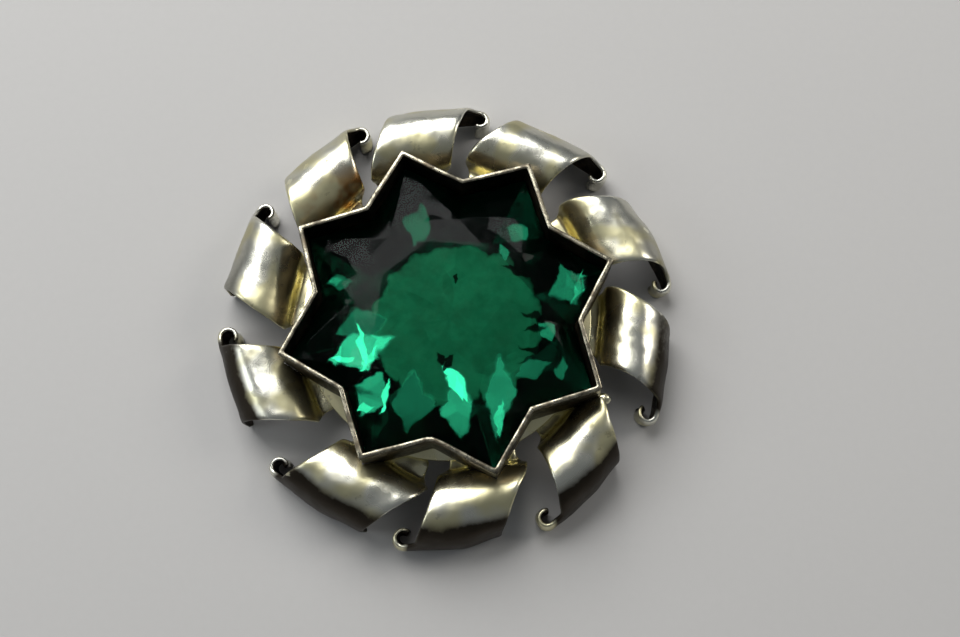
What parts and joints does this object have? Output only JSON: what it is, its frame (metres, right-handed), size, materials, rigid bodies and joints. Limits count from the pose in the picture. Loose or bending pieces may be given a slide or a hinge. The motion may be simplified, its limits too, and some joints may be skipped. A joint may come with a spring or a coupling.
{
  "type": "flower brooch with star stone",
  "caption": "Round brooch: an eight-pointed star of faceted green glass in a raised strip setting, ringed by arched petals with curled corners, with a hinged pin and turning catch behind.",
  "frame": {"origin": "centre of the petal ring, on the plane of the petals' lower edges that the brooch lies on", "axes": "+Z out of the stone's face, +Y up as worn, +X to the right seen from the front"},
  "size_m": [0.0447, 0.0448, 0.009],
  "materials": {
    "gilt_silver": "worn gilding over silver-coloured sheet, satin on the ridges, dark in the hollows",
    "dark_silver": "tarnished gilt sheet, bright along the worn top edge",
    "green_glass": "clear faceted green glass",
    "foil": "bright foil",
    "pin_steel": "plain drawn wire"
  },
  "bodies": {
    "brooch": {"back_plate": "gilt_silver", "bezel_wall": "dark_silver", "seat_strip": "dark_silver", "foil_disc": "foil", "stone": "green_glass", "petal_01": "gilt_silver", "petal_02": "gilt_silver", "petal_03": "gilt_silver", "petal_04": "gilt_silver", "petal_05": "gilt_silver", "petal_06": "gilt_silver", "petal_07": "gilt_silver", "petal_08": "gilt_silver", "petal_09": "gilt_silver", "petal_10": "gilt_silver", "hinge_block": "gilt_silver", "hinge_rivet": "pin_steel", "catch_housing": "gilt_silver"},
    "pin": {"pin_stem": "pin_steel"},
    "roller": {"catch_roller": "gilt_silver"}
  },
  "joints": [
    {"name": "pin_hinge", "type": "hinge", "parent": "brooch", "child": "pin", "pos_m": [-0.01, 0.004, 0.0014], "axis": [0, 1, 0], "range_deg": [0, 100]},
    {"name": "catch_turn", "type": "hinge", "parent": "brooch", "child": "roller", "pos_m": [0.01, 0.004, 0.0014], "axis": [1, 0, 0], "range_deg": [0, 120]}
  ]
}
